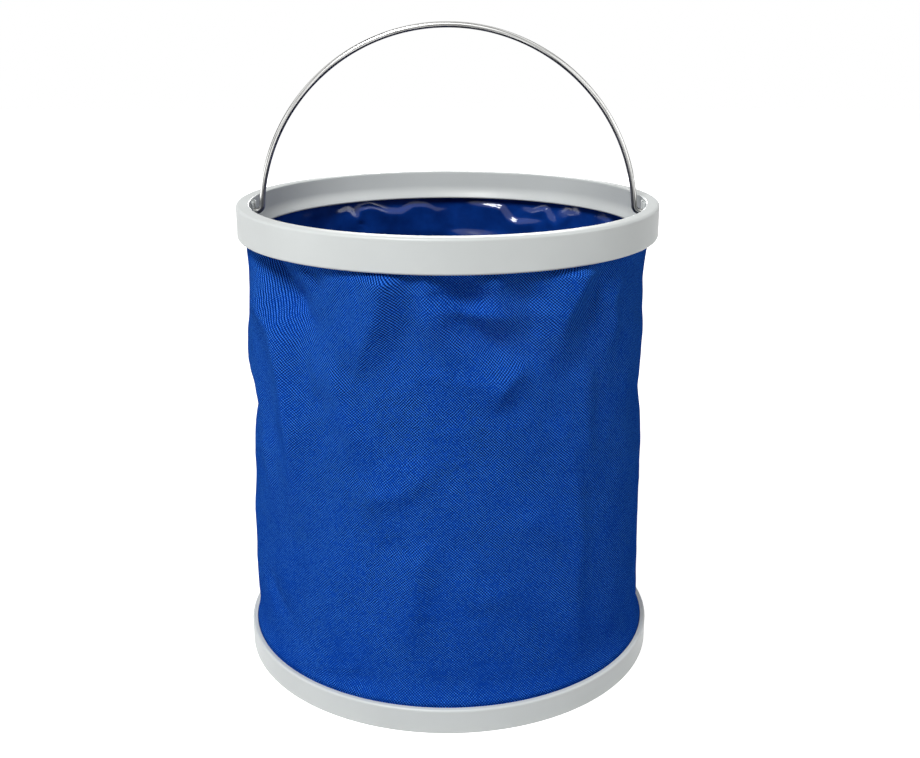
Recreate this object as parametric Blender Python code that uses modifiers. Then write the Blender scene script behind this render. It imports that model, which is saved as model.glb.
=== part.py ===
"""Collapsible camp bucket: a coated cloth wall and floor held by two moulded rings, with a wire bail.

Metres, +Z up. The origin is the centre of the base ring's standing face, the front looks along -Y, and the
bail swings about an axis along X. The bucket is modelled opened out, with its bail upright.
"""

import math

import bmesh
import bpy

# Whole bucket: the base stands a step out past the rim all round
BUCKET_HEIGHT = 0.290
RIM_OUTER_RADIUS = 0.128
BASE_STEP_OUT = 0.0042

# Fits between neighbours
FIT_GAP = 0.0003
BORE_CLEARANCE = 0.0004
MERGE_DISTANCE = 0.00001

# Cloth: one layer, and the width of its glued side lap
CLOTH_THICKNESS = 0.00055
SIDE_LAP_WIDTH = 0.012

# Rim ring: a channel that opens downward, with its inner leg flared into a lip
RIM_HEIGHT = 0.0195
RIM_WALL = 0.0020
RIM_HOOP_THICKNESS = 0.0019
RIM_TOP_ROUND = 0.0018
RIM_FOOT_ROUND = 0.0012
RIM_MOUTH_ROUND = 0.0009
LIP_REACH = 0.0029
LIP_HEIGHT = 0.0060
LIP_BEND_RADIUS = 0.0120
LIP_ROUND = 0.0009
LEG_SETBACK = 0.0008

# Base ring: a channel that opens upward, with a low inner leg under the floor cloth
BASE_HEIGHT = 0.0155
BASE_WALL = 0.0016
BASE_HOOP_THICKNESS = 0.0012
BASE_TOP_ROUND = 0.0014
BASE_FOOT_ROUND = 0.0008
BASE_LEG_HEIGHT = 0.0085

# Snap bead in each channel, and the groove for it in the hoop
BEAD_PROUD = 0.0005
BEAD_HALF_WIDTH = 0.0011
RIM_BEAD_HEIGHT = 0.0050
BASE_BEAD_HEIGHT = 0.0080

# Wire bail, its feet and the lugs that they turn in
WIRE_RADIUS = 0.00175
PIVOT_DROP = 0.0080
BAIL_STOW_GAP = 0.00835
BAIL_LEG_GAP = 0.0030
BAIL_BEND_RADIUS = 0.0040
BAIL_ARC_START = 0.0060
FOOT_SETBACK = 0.0005
HEM_HOLE_RADIUS = 0.0032
LUG_PROUD = 0.0015
LUG_WIDTH = 0.0120
LUG_HEIGHT = 0.0125
LUG_ROUND = 0.0008

# Cloth wall: how far its foot flares out to the base ring, how far it is drawn in below the rim and at both
# sides, and its folds. Places on it are shares of its height from its foot, and turns are degrees from the
# front towards +X.
FOOT_FLARE = 0.0030
FLARE_END_SHARE = 0.08
WALL_NECK = 0.0022
NECK_SHARE = 0.90
NECK_SPREAD_SHARE = 0.07
SIDE_DENT = 0.0026
DENT_SHARE = 0.60
DENT_SPREAD_SHARE = 0.055
DENT_TURN = 90
DENT_SPREAD_TURN = 24
FOLD_WIDTH = 0.0150
FOLD_DEPTH = 0.0042
FOLD_END_SHARE = 0.05

# Faces round and along the turned and woven pieces
RING_STEPS = 72
ROUND_STEPS = 3
WALL_COLUMNS = 48
WALL_ROWS = 12
ROW_SPREAD = 1.25
BORE_SIDES = 24
BAIL_ARC_STEPS = 40
BAIL_BEND_STEPS = 5

# Rim channel, from the outside in
rim_channel_outer = RIM_OUTER_RADIUS - RIM_WALL
rim_hoop_outer = rim_channel_outer - FIT_GAP
rim_hoop_inner = rim_hoop_outer - RIM_HOOP_THICKNESS
hem_outer = rim_hoop_inner - FIT_GAP
hem_inner = hem_outer - 2 * CLOTH_THICKNESS
rim_leg_outer = hem_inner - FIT_GAP
mouth_radius = rim_leg_outer - RIM_WALL
rim_underside = BUCKET_HEIGHT - RIM_HEIGHT
pivot_height = BUCKET_HEIGHT - PIVOT_DROP

# Base channel, from the outside in
base_outer_radius = RIM_OUTER_RADIUS + BASE_STEP_OUT
base_channel_outer = base_outer_radius - BASE_WALL
base_hoop_outer = base_channel_outer - FIT_GAP
base_hoop_inner = base_hoop_outer - BASE_HOOP_THICKNESS
band_outer = base_hoop_inner - FIT_GAP
band_inner = band_outer - 2 * CLOTH_THICKNESS
base_leg_outer = band_inner - FIT_GAP
base_leg_inner = base_leg_outer - BASE_WALL

# Cloth wall, between the weld band at the base and the hem in the rim
wall_foot = BASE_HEIGHT + FIT_GAP
wall_head = rim_underside + LEG_SETBACK - FIT_GAP
wall_height = wall_head - wall_foot
wall_waist_radius = band_outer - FOOT_FLARE
wall_head_radius = hem_inner + CLOTH_THICKNESS

# Wire bail, seen from the front with its pivots on the line of height zero
lug_face = mouth_radius - LUG_PROUD
bail_half_span = lug_face - BAIL_LEG_GAP - WIRE_RADIUS
bail_rise = mouth_radius - BAIL_STOW_GAP - WIRE_RADIUS
foot_end = rim_hoop_outer - FOOT_SETBACK
bore_end = (rim_hoop_outer + rim_channel_outer) / 2

# The wall's folds, each a straight crease: turn and height share at its start, the same at its end, then
# its width and its rise as shares of the fold sizes. A minus sign makes a valley.
FOLD_SHARES = (
    (-62, 0.99, -39, 0.83, 0.70, 0.95),
    (-52, 0.98, -36, 0.90, 0.60, -0.75),
    (-33, 0.97, -32, 0.86, 0.55, 0.45),
    (-22, 0.95, -23, 0.82, 0.85, 0.85),
    (-12, 0.97, -15, 0.84, 0.65, -0.70),
    (2, 0.94, 13, 0.92, 0.50, 0.60),
    (4, 0.99, 10, 0.97, 0.70, -0.80),
    (2, 0.91, 14, 0.76, 0.80, 0.80),
    (8, 0.89, 18, 0.83, 0.70, -0.85),
    (14, 0.76, 24, 0.83, 0.60, 0.45),
    (33, 0.96, 27, 0.86, 0.80, 0.70),
    (40, 0.93, 34, 0.76, 0.90, -0.60),
    (34, 0.76, 48, 0.52, 0.80, 0.50),
    (-46, 0.80, -26, 0.58, 0.90, 0.70),
    (-33, 0.82, -20, 0.62, 0.60, -0.45),
    (-61, 0.64, -54, 0.42, 0.60, 0.50),
    (-18, 0.55, -7, 0.56, 0.80, 0.55),
    (-21, 0.46, -10, 0.49, 0.80, -0.65),
    (-14, 0.41, -2, 0.37, 0.80, -0.40),
    (1, 0.27, 17, 0.28, 1.00, 0.35),
    (-47, 0.05, -27, 0.07, 0.70, -0.45),
    (60, 0.97, 74, 0.82, 0.80, 0.70),
    (78, 0.95, 66, 0.76, 0.80, -0.60),
    (97, 0.98, 88, 0.80, 0.90, 0.60),
    (112, 0.96, 124, 0.80, 0.80, 0.80),
    (131, 0.95, 118, 0.74, 0.80, -0.70),
    (120, 0.62, 136, 0.44, 0.90, 0.50),
    (150, 0.95, 141, 0.84, 0.70, 0.60),
    (-150, 0.96, -138, 0.80, 0.80, 0.80),
    (-136, 0.96, -128, 0.83, 0.70, -0.60),
    (-120, 0.96, -107, 0.78, 0.90, 0.70),
    (-98, 0.95, -108, 0.80, 0.70, -0.60),
    (-142, 0.66, -124, 0.50, 0.90, 0.50),
    (-82, 0.96, -74, 0.84, 0.70, 0.60),
)


def rounded_outline(corners):
    """Turn corners of (radius, height, round) into points, with an arc at each corner whose round isn't zero."""
    points = []
    for index, (x, y, size) in enumerate(corners):
        if size == 0:
            points.append((x, y))
            continue
        before = corners[index - 1]
        after = corners[(index + 1) % len(corners)]
        points.extend(corner_arc(before[:2], (x, y), after[:2], size, ROUND_STEPS))
    return points


def corner_arc(before, corner, after, size, steps):
    """Points of an arc of radius size that rounds a corner, from the side of before to the side of after."""
    arm_in = (before[0] - corner[0], before[1] - corner[1])
    arm_out = (after[0] - corner[0], after[1] - corner[1])
    length_in = math.hypot(*arm_in)
    length_out = math.hypot(*arm_out)
    unit_in = (arm_in[0] / length_in, arm_in[1] / length_in)
    unit_out = (arm_out[0] / length_out, arm_out[1] / length_out)
    half_angle = math.acos(unit_in[0] * unit_out[0] + unit_in[1] * unit_out[1]) / 2
    setback = size / math.tan(half_angle)
    start = (corner[0] + unit_in[0] * setback, corner[1] + unit_in[1] * setback)
    end = (corner[0] + unit_out[0] * setback, corner[1] + unit_out[1] * setback)
    bisector = (unit_in[0] + unit_out[0], unit_in[1] + unit_out[1])
    reach = size / math.sin(half_angle) / math.hypot(*bisector)
    centre = (corner[0] + bisector[0] * reach, corner[1] + bisector[1] * reach)
    first = math.atan2(start[1] - centre[1], start[0] - centre[0])
    last = math.atan2(end[1] - centre[1], end[0] - centre[0])
    sweep = (last - first + math.pi) % (2 * math.pi) - math.pi
    return [
        (
            centre[0] + size * math.cos(first + sweep * step / steps),
            centre[1] + size * math.sin(first + sweep * step / steps),
        )
        for step in range(steps + 1)
    ]


def make_material(name, colour, roughness, metallic=0.0):
    material = bpy.data.materials.new(name)
    material.use_nodes = True
    shader = material.node_tree.nodes["Principled BSDF"]
    shader.inputs["Base Color"].default_value = (*colour, 1.0)
    shader.inputs["Roughness"].default_value = roughness
    shader.inputs["Metallic"].default_value = metallic
    return material


def make_collection(name):
    collection = bpy.data.collections.new(name)
    bpy.context.scene.collection.children.link(collection)
    return collection


def make_frame(name, height, collection, parent=None):
    """An empty on the bucket's axis, that the pieces of one moving body hang from."""
    frame = bpy.data.objects.new(name, None)
    collection.objects.link(frame)
    frame.parent = parent
    frame.location = (0, 0, height - (parent.matrix_world.translation.z if parent else 0))
    bpy.context.view_layer.update()
    return frame


def add_piece(name, data, collection, frame, material=None):
    """Link data as a named object that stands on its frame."""
    piece = bpy.data.objects.new(name, data)
    collection.objects.link(piece)
    piece.parent = frame
    if material:
        data.materials.append(material)
    return piece


def turned_piece(name, outline, collection, frame, material):
    """Turn an outline, which runs down its outer side, once round the Z axis. One that starts on the axis
    ends on it, and any other is closed."""
    mesh = bpy.data.meshes.new(name)
    edges = [(index, index + 1) for index in range(len(outline) - 1)]
    if outline[0][0] > 0:
        edges.append((len(outline) - 1, 0))
    mesh.from_pydata([(radius, 0, height) for radius, height in outline], edges, [])
    piece = add_piece(name, mesh, collection, frame, material)
    screw = piece.modifiers.new("turn", "SCREW")
    screw.axis = "Z"
    screw.steps = screw.render_steps = RING_STEPS
    screw.use_merge_vertices = True
    screw.merge_threshold = MERGE_DISTANCE
    screw.use_smooth_shade = True
    return piece


def cut_or_join(piece, tool, operation):
    boolean = piece.modifiers.new(tool.name, "BOOLEAN")
    boolean.operation = operation
    boolean.object = tool
    boolean.solver = "EXACT"


def cross_bore(name, radius, collection, frame):
    """A cutter along X through both sides of the rim, that stops short of its channel's outer wall."""
    mesh = bpy.data.meshes.new(name)
    shape = bmesh.new()
    bmesh.ops.create_cone(
        shape,
        cap_ends=True,
        segments=BORE_SIDES,
        radius1=radius,
        radius2=radius,
        depth=2 * bore_end,
    )
    shape.to_mesh(mesh)
    shape.free()
    cutter = add_piece(name, mesh, collection, frame)
    cutter.rotation_euler = (0, math.pi / 2, 0)
    return cutter


def lug_blocks(name, collection, frame):
    """Two blocks that stand proud of the mouth at the pivots and run back into the rim's inner leg."""
    depth = LUG_PROUD + RIM_WALL / 2
    mesh = bpy.data.meshes.new(name)
    shape = bmesh.new()
    for side in (-1, 1):
        block = bmesh.ops.create_cube(shape, size=1)["verts"]
        bmesh.ops.scale(shape, vec=(depth, LUG_WIDTH, LUG_HEIGHT), verts=block)
        bmesh.ops.translate(shape, vec=(side * (lug_face + depth / 2), 0, 0), verts=block)
    long_edges = [
        edge for edge in shape.edges if abs(edge.verts[0].co.x - edge.verts[1].co.x) > depth / 2
    ]
    bmesh.ops.bevel(shape, geom=long_edges, offset=LUG_ROUND, segments=ROUND_STEPS, affect="EDGES")
    shape.to_mesh(mesh)
    shape.free()
    return add_piece(name, mesh, collection, frame)


def rim_ring_outline():
    """The rim's section, with heights from its underside."""
    bead_top = RIM_BEAD_HEIGHT + BEAD_HALF_WIDTH
    bead_foot = RIM_BEAD_HEIGHT - BEAD_HALF_WIDTH
    ceiling = RIM_HEIGHT - RIM_WALL
    lip_radius = mouth_radius - LIP_REACH
    return rounded_outline(
        [
            (RIM_OUTER_RADIUS, RIM_HEIGHT, RIM_TOP_ROUND),
            (RIM_OUTER_RADIUS, 0, RIM_FOOT_ROUND),
            (rim_channel_outer, 0, 0),
            (rim_channel_outer, bead_foot, 0),
            (rim_channel_outer - BEAD_PROUD, RIM_BEAD_HEIGHT, 0),
            (rim_channel_outer, bead_top, 0),
            (rim_channel_outer, ceiling, 0),
            (rim_leg_outer, ceiling, 0),
            (rim_leg_outer, LEG_SETBACK, 0),
            (lip_radius, LEG_SETBACK, LIP_ROUND),
            (mouth_radius, LEG_SETBACK + LIP_HEIGHT, LIP_BEND_RADIUS),
            (mouth_radius, RIM_HEIGHT, RIM_MOUTH_ROUND),
        ]
    )


def rim_hoop_outline():
    """The hoop that pins the hem in the rim, with its groove over the bead."""
    bead_top = RIM_BEAD_HEIGHT + BEAD_HALF_WIDTH + FIT_GAP
    bead_foot = RIM_BEAD_HEIGHT - BEAD_HALF_WIDTH - FIT_GAP
    return [
        (rim_hoop_outer, RIM_HEIGHT - RIM_WALL - FIT_GAP),
        (rim_hoop_outer, bead_top),
        (rim_hoop_outer - BEAD_PROUD, RIM_BEAD_HEIGHT),
        (rim_hoop_outer, bead_foot),
        (rim_hoop_outer, FIT_GAP),
        (rim_hoop_inner, FIT_GAP),
        (rim_hoop_inner, RIM_HEIGHT - RIM_WALL - FIT_GAP),
    ]


def base_ring_outline():
    """The base's section: outer wall, web on the ground and low inner leg."""
    bead_top = BASE_BEAD_HEIGHT + BEAD_HALF_WIDTH
    bead_foot = BASE_BEAD_HEIGHT - BEAD_HALF_WIDTH
    return rounded_outline(
        [
            (base_outer_radius, BASE_HEIGHT, BASE_TOP_ROUND),
            (base_outer_radius, 0, BASE_FOOT_ROUND),
            (base_leg_inner, 0, 0),
            (base_leg_inner, BASE_LEG_HEIGHT, 0),
            (base_leg_outer, BASE_LEG_HEIGHT, 0),
            (base_leg_outer, BASE_WALL, 0),
            (base_channel_outer, BASE_WALL, 0),
            (base_channel_outer, bead_foot, 0),
            (base_channel_outer - BEAD_PROUD, BASE_BEAD_HEIGHT, 0),
            (base_channel_outer, bead_top, 0),
            (base_channel_outer, BASE_HEIGHT, 0),
        ]
    )


def base_hoop_outline():
    """The hoop that pins the weld band in the base, with its groove over the bead."""
    bead_top = BASE_BEAD_HEIGHT + BEAD_HALF_WIDTH + FIT_GAP
    bead_foot = BASE_BEAD_HEIGHT - BEAD_HALF_WIDTH - FIT_GAP
    return [
        (base_hoop_outer, BASE_HEIGHT - FIT_GAP),
        (base_hoop_outer, bead_top),
        (base_hoop_outer - BEAD_PROUD, BASE_BEAD_HEIGHT),
        (base_hoop_outer, bead_foot),
        (base_hoop_outer, BASE_WALL + FIT_GAP),
        (base_hoop_inner, BASE_WALL + FIT_GAP),
        (base_hoop_inner, BASE_HEIGHT - FIT_GAP),
    ]


def cloth_band_outline(inner, outer, foot, head):
    return [(outer, head), (outer, foot), (inner, foot), (inner, head)]


def bell(distance, width):
    return math.exp(-((distance / width) ** 2))


def held(share, end_share):
    """One on the free wall, falling to nothing at its foot and head over the end share."""
    return min(1, share / end_share) * min(1, (1 - share) / end_share)


def fold_rise(azimuth, share):
    """How far the creases push the wall out at a place on it, in metres."""
    around = math.radians(azimuth) * wall_head_radius
    up = share * wall_height
    rise = 0
    for start_turn, start_share, end_turn, end_share, width_share, rise_share in FOLD_SHARES:
        start = (math.radians(start_turn) * wall_head_radius, start_share * wall_height)
        run = (
            math.radians(end_turn - start_turn) * wall_head_radius,
            (end_share - start_share) * wall_height,
        )
        along = ((around - start[0]) * run[0] + (up - start[1]) * run[1]) / (run[0] ** 2 + run[1] ** 2)
        along = min(1, max(0, along))
        distance = math.hypot(around - start[0] - along * run[0], up - start[1] - along * run[1])
        rise += rise_share * FOLD_DEPTH * bell(distance, width_share * FOLD_WIDTH)
    return rise


def wall_radius(azimuth, share):
    """The wall's outer radius at an azimuth in degrees, -180 to 180, and a share of its height."""
    straight = wall_waist_radius + (wall_head_radius - wall_waist_radius) * share
    flare = FOOT_FLARE * max(0, 1 - share / FLARE_END_SHARE)
    neck = WALL_NECK * bell(share - NECK_SHARE, NECK_SPREAD_SHARE)
    side = bell(abs(azimuth) - DENT_TURN, DENT_SPREAD_TURN)
    dent = SIDE_DENT * side * bell(share - DENT_SHARE, DENT_SPREAD_SHARE)
    return straight + flare - neck - dent + held(share, FOLD_END_SHARE) * fold_rise(azimuth, share)


def row_shares():
    """Heights of the wall's rows as shares, closer together towards the rim, where the folds are."""
    return [1 - (1 - row / WALL_ROWS) ** ROW_SPREAD for row in range(WALL_ROWS + 1)]


def cloth_surface(name, azimuths, stand_off, closed, collection, frame, material):
    """A cloth shell over the given azimuths, that far outside the wall's own face."""
    mesh = bpy.data.meshes.new(name)
    shape = bmesh.new()
    rows = []
    for share in row_shares():
        row = []
        for azimuth in azimuths:
            radius = wall_radius(azimuth, share) + stand_off
            turn = math.radians(azimuth)
            height = wall_foot + share * wall_height
            row.append(shape.verts.new((radius * math.sin(turn), -radius * math.cos(turn), height)))
        rows.append(row)
    columns = len(azimuths) if closed else len(azimuths) - 1
    for lower, upper in zip(rows, rows[1:]):
        for column in range(columns):
            following = (column + 1) % len(azimuths)
            shape.faces.new((lower[column], lower[following], upper[following], upper[column]))
    for face in shape.faces:
        face.smooth = True
    shape.to_mesh(mesh)
    shape.free()
    cloth = add_piece(name, mesh, collection, frame, material)
    shell = cloth.modifiers.new("thickness", "SOLIDIFY")
    shell.thickness = CLOTH_THICKNESS
    shell.offset = -1
    shell.use_even_offset = True
    return cloth


def floor_outline():
    """The floor cloth, laid over the base ring's inner leg and inside the weld band."""
    edge = band_inner - FIT_GAP
    foot = BASE_LEG_HEIGHT + FIT_GAP
    head = foot + CLOTH_THICKNESS
    return [(0, head), (edge, head), (edge, foot), (0, foot)]


def bail_centreline():
    """The wire's centreline from foot to foot as (x, height over the pivots): a foot, a bend, one wide arc."""
    arc_height = bail_rise - BAIL_ARC_START
    arc_radius = (bail_half_span**2 + arc_height**2) / (2 * arc_height)
    arc_centre = bail_rise - arc_radius
    half_sweep = math.atan2(bail_half_span, BAIL_ARC_START - arc_centre)
    arc = []
    for step in range(BAIL_ARC_STEPS + 1):
        angle = half_sweep * (2 * step / BAIL_ARC_STEPS - 1)
        arc.append((arc_radius * math.sin(angle), arc_centre + arc_radius * math.cos(angle)))
    knee = bail_half_span + BAIL_ARC_START / math.tan(half_sweep)
    bend = corner_arc((foot_end, 0), (knee, 0), arc[-1], BAIL_BEND_RADIUS, BAIL_BEND_STEPS)
    left_bend = [(-x, height) for x, height in bend]
    right_bend = list(reversed(bend))
    return [(-foot_end, 0), *left_bend, *arc, *right_bend, (foot_end, 0)]


def wire_bail(name, collection, frame, material):
    curve = bpy.data.curves.new(name, "CURVE")
    curve.dimensions = "3D"
    curve.bevel_depth = WIRE_RADIUS
    curve.bevel_resolution = 3
    curve.use_fill_caps = True
    route = bail_centreline()
    spline = curve.splines.new("POLY")
    spline.points.add(len(route) - 1)
    for point, (x, height) in zip(spline.points, route):
        point.co = (x, 0, height, 1)
    spline.use_smooth = True
    return add_piece(name, curve, collection, frame, material)


def hide_tool(tool):
    tool.hide_render = True
    tool.display_type = "WIRE"


def build_bucket():
    for old in list(bpy.data.objects):
        bpy.data.objects.remove(old)

    parts = make_collection("collapsible_camp_bucket")
    tools = make_collection("cutters")
    base_frame = make_frame("base_frame", 0, parts)
    rim_frame = make_frame("rim_frame", rim_underside, parts, base_frame)
    bail_frame = make_frame("bail_frame", pivot_height, parts, rim_frame)

    ring_plastic = make_material("pale_grey_polypropylene", (0.62, 0.64, 0.63), 0.45)
    hoop_plastic = make_material("grey_polypropylene", (0.50, 0.52, 0.51), 0.5)
    cloth = make_material("blue_coated_oxford", (0.012, 0.085, 0.43), 0.6)
    liner = make_material("navy_vinyl_coating", (0.008, 0.025, 0.16), 0.25)
    steel = make_material("zinc_plated_wire", (0.62, 0.62, 0.62), 0.25, 1.0)

    bore = cross_bore("bail_bore", WIRE_RADIUS + BORE_CLEARANCE, tools, bail_frame)
    punch = cross_bore("hem_punch", HEM_HOLE_RADIUS, tools, bail_frame)
    lugs = lug_blocks("bail_lugs", tools, bail_frame)
    for tool in (bore, punch, lugs):
        hide_tool(tool)

    rim_ring = turned_piece("rim_ring", rim_ring_outline(), parts, rim_frame, ring_plastic)
    cut_or_join(rim_ring, lugs, "UNION")
    cut_or_join(rim_ring, bore, "DIFFERENCE")
    rim_hoop = turned_piece("rim_clamp_hoop", rim_hoop_outline(), parts, rim_frame, hoop_plastic)
    cut_or_join(rim_hoop, bore, "DIFFERENCE")
    hem = cloth_band_outline(hem_inner, hem_outer, LEG_SETBACK, RIM_HEIGHT - RIM_WALL - FIT_GAP)
    top_hem = turned_piece("top_hem_band", hem, parts, rim_frame, cloth)
    cut_or_join(top_hem, punch, "DIFFERENCE")
    wire_bail("wire_bail", parts, bail_frame, steel)

    turned_piece("base_ring", base_ring_outline(), parts, base_frame, ring_plastic)
    turned_piece("base_clamp_hoop", base_hoop_outline(), parts, base_frame, hoop_plastic)
    band = cloth_band_outline(band_inner, band_outer, BASE_WALL + FIT_GAP, BASE_HEIGHT)
    turned_piece("bottom_weld_band", band, parts, base_frame, cloth)
    turned_piece("fabric_floor", floor_outline(), parts, base_frame, liner)

    step = 360 / WALL_COLUMNS
    around = [step * column - 180 for column in range(WALL_COLUMNS)]
    cloth_surface("fabric_wall", around, 0, True, parts, base_frame, cloth)
    lap_turn = math.degrees(SIDE_LAP_WIDTH / 2 / wall_head_radius)
    lap_turns = [180 - lap_turn, 180, 180 + lap_turn]
    lap_stand_off = FIT_GAP + CLOTH_THICKNESS
    cloth_surface("side_seam_lap", lap_turns, lap_stand_off, False, parts, base_frame, cloth)


build_bucket()
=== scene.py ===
"""Looks of the collapsible camp bucket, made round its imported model.

Metres, +Z up. The front looks along -Y. A turn is in degrees from the front towards +X, and a share is of
the wall's height, from its foot.
"""

import math

import bmesh
import bpy
import numpy as np
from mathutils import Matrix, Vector, noise


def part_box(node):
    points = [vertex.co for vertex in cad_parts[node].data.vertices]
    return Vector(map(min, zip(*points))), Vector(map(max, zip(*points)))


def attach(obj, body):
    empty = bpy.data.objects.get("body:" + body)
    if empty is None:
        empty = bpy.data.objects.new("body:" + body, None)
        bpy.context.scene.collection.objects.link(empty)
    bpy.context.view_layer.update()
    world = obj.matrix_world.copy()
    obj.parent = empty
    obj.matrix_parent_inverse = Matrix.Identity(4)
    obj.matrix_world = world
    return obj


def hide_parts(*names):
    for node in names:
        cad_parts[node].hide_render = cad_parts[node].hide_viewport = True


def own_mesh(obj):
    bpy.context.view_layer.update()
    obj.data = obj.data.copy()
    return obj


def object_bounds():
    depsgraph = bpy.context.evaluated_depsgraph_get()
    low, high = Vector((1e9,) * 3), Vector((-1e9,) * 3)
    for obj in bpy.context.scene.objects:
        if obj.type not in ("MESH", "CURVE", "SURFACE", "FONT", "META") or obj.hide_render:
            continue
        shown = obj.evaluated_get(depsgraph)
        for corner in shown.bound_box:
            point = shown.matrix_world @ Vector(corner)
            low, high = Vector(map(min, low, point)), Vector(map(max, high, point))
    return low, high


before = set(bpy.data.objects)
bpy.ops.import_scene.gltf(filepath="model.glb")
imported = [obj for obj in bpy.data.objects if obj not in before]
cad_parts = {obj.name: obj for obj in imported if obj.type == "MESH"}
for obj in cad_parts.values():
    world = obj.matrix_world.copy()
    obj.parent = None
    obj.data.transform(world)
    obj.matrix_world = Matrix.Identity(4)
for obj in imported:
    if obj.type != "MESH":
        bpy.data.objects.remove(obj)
cad_low, cad_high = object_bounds()

MM = 0.001

# Camera, fitted to the edges of both rings in the photograph
PHOTO_WIDTH = 920
FOCAL_PIXELS = 1172.9
SENSOR_WIDTH = 36
CAMERA_PLACE = (12.5 * MM, -717.2 * MM, 404.4 * MM)
CAMERA_PITCH = 17.82
CAMERA_TURN = 0.41

# Rim moulding: shell, edge rounds and the lip in its mouth
RIM_WALL = 2.0 * MM
RIM_TOP_ROUND = 1.8 * MM
RIM_FOOT_ROUND = 1.2 * MM
MOUTH_ROUND = 0.9 * MM
LIP_REACH = 2.9 * MM
LIP_HEIGHT = 6.0 * MM
LIP_BEND = 13.0 * MM
LIP_ROUND = 0.9 * MM

# Base moulding: shell, edge rounds and the low leg under the floor cloth
BASE_WALL = 1.6 * MM
BASE_TOP_ROUND = 1.4 * MM
BASE_FOOT_ROUND = 0.8 * MM
BASE_LEG_HEIGHT = 8.5 * MM

# Both mouldings and hoops: gaps where the real pieces touch, the hoops' edges, and how fine the meshes are
FIT_GAP = 0.3 * MM
SEAM_GAP = 0.08 * MM
HOOP_ROUND = 0.4 * MM
MOULDING_STEPS = 256
MOULDING_SHARP_ANGLE = 40
ROUND_STEPS = 5

# Bail: its bores, the lugs that stand into the mouth, the slot above each bore, and the wire's bends
WIRE_RADIUS = 1.75 * MM
WIRE_SIDES = 20
WIRE_SHARP_ANGLE = 50
BORE_RADIUS = 2.15 * MM
BORE_SIDES = 48
PIVOT_DROP = 8.0 * MM
LUG_PROUD = 1.5 * MM
LUG_WIDTH = 12.0 * MM
LUG_HEIGHT = 12.5 * MM
LUG_ROUND = 0.4 * MM
SLOT_WIDTH = 4.4 * MM
SLOT_DEPTH = 1.3 * MM
SLOT_RISE = 6.4 * MM
SLOT_ROUND = SLOT_DEPTH / 4
BLOCK_ROUND_STEPS = 3
BAIL_LEG_GAP = 3.0 * MM
BAIL_BEND_RADIUS = 4.0 * MM
BAIL_BEND_STEPS = 12
BAIL_ARC_START = 6.0 * MM
BAIL_ARC_STEPS = 160

# Wall cloth: thickness, mesh, how the wall is drawn in, its side lap and the fold of its clamped edges
CLOTH_THICKNESS = 0.55 * MM
WALL_COLUMNS = 384
WALL_ROWS = 126
ROW_SPREAD = 1.25
FOOT_FLARE = 3.0 * MM
FLARE_END_SHARE = 0.055
FLARE_POWER = 1.6
NECK = 1.2 * MM
NECK_SHARE = 0.90
NECK_SPREAD_SHARE = 0.07
LAP_WIDTH = 12.0 * MM
LAP_COLUMNS = 9
BAND_ROUND_SHARE = 0.45

# Floor cloth: its mesh, and the slack that puckers it, less and less towards its held edge
FLOOR_RINGS = 32
FLOOR_SPOKES = 128
FLOOR_SLACK = 1.1 * MM
FLOOR_HOLD_POWER = 4
FLOOR_MIDDLE_RISE = 0.5 * MM
PUCKER_SIZE = 45 * MM
RIPPLE_SIZE = 18 * MM
RIPPLE_SHARE = 0.3

# Form of all folds: the round on the crest, how even the flanks are, the parts of a fold's run over which it
# rises and dies away, and the share of the wall over which each ring holds the cloth flat
CREST_ROUND = 1.0 * MM
FLANK_EVENNESS = 5.0
RUN_RISE_PART = 0.2
RUN_FADE_PART = 0.4
FOLD_END_SHARE = 0.022

# Crumples between the folds: coarse and fine ridges, each with their rise low on the wall and their gain at
# the rim, where the gain sets in, and how the ridges are bent about. The noise that bends them needs a seed,
# because without one each run would crumple the cloth in another way.
COARSE_SIZE = 34 * MM
COARSE_RISE = 0.35 * MM
COARSE_GAIN = 0.60 * MM
FINE_SIZE = 15 * MM
FINE_RISE = 0.05 * MM
FINE_GAIN = 0.17 * MM
FINE_SHIFT = Vector((7, 3, 1))
RIDGE_MIDDLE = 0.6
GAIN_START_SHARE = 0.35
GAIN_SPAN_SHARE = 0.4
BEND_SIZE = 40 * MM
BEND_REACH = 0.6
BEND_SEED = 1
noise.seed_set(BEND_SEED)

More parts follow.
